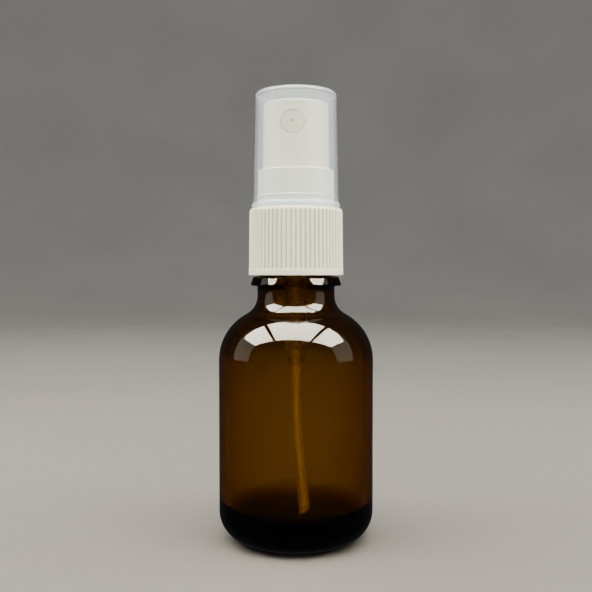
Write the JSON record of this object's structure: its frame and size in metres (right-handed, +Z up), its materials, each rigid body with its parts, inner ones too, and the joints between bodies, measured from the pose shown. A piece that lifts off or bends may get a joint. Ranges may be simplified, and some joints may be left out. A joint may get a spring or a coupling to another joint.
{
  "type": "spray bottle",
  "caption": "Small round-shouldered amber glass bottle with a ribbed screw-on fine-mist pump, press-down actuator, bent dip tube and translucent push-on overcap.",
  "frame": {"origin": "centre of the bottle's foot, at the height of the surface that it stands on", "axes": "+Z up along the axis of the bottle and pump; the nozzle faces -Y; +X to the right of the nozzle's viewer"},
  "size_m": [0.0374, 0.0374, 0.108],
  "materials": {
    "amber_glass": "gloss",
    "white_plastic": "satin",
    "clear_plastic": "gloss",
    "nozzle_plastic": "satin",
    "natural_plastic": "satin",
    "spring_steel": "bright drawn wire",
    "ball_steel": "polished",
    "seal_rubber": "matte"
  },
  "bodies": {
    "glass": {"bottle": "amber_glass"},
    "pump": {"pump_housing": "natural_plastic", "neck_gasket": "seal_rubber", "stem_guide": "natural_plastic", "stem_seal": "seal_rubber", "ball_cage": "natural_plastic", "dip_tube": "natural_plastic"},
    "screw_cap": {"closure": "white_plastic"},
    "cover": {"overcap": "clear_plastic"},
    "stem": {"upper_stem": "white_plastic", "lower_stem": "natural_plastic", "return_spring": "spring_steel"},
    "button": {"actuator": "white_plastic", "nozzle_insert": "nozzle_plastic"},
    "piston_ring": {"piston": "natural_plastic"},
    "inlet_ball": {"check_ball": "ball_steel"}
  },
  "joints": [
    {"name": "pump_rise", "type": "slide", "parent": "glass", "child": "pump", "axis": [0, 0, 1], "range_m": [0, 0.00635]},
    {"name": "closure_turn", "type": "hinge", "parent": "pump", "child": "screw_cap", "pos_m": [0, 0, 0.072], "axis": [0, 0, 1], "range_deg": [0, 720]},
    {"name": "overcap_lift", "type": "slide", "parent": "screw_cap", "child": "cover", "axis": [0, 0, 1], "range_m": [0, 0.034]},
    {"name": "actuator_press", "type": "slide", "parent": "pump", "child": "stem", "axis": [0, 0, -1], "range_m": [0, 0.0043], "stiffness_N_per_m": 600, "springref_m": -0.005, "deforming": ["return_spring"]},
    {"name": "actuator_turn", "type": "hinge", "parent": "stem", "child": "button", "pos_m": [0, 0, 0.095], "axis": [0, 0, 1], "continuous": true},
    {"name": "piston_slip", "type": "slide", "parent": "stem", "child": "piston_ring", "axis": [0, 0, 1], "range_m": [0, 0.00055]},
    {"name": "ball_lift", "type": "slide", "parent": "pump", "child": "inlet_ball", "axis": [0, 0, 1], "range_m": [0, 0.0011]}
  ],
  "couplings": [
    {"joint": "closure_turn", "follows": "pump_rise", "rad_per_m": 1979}
  ]
}
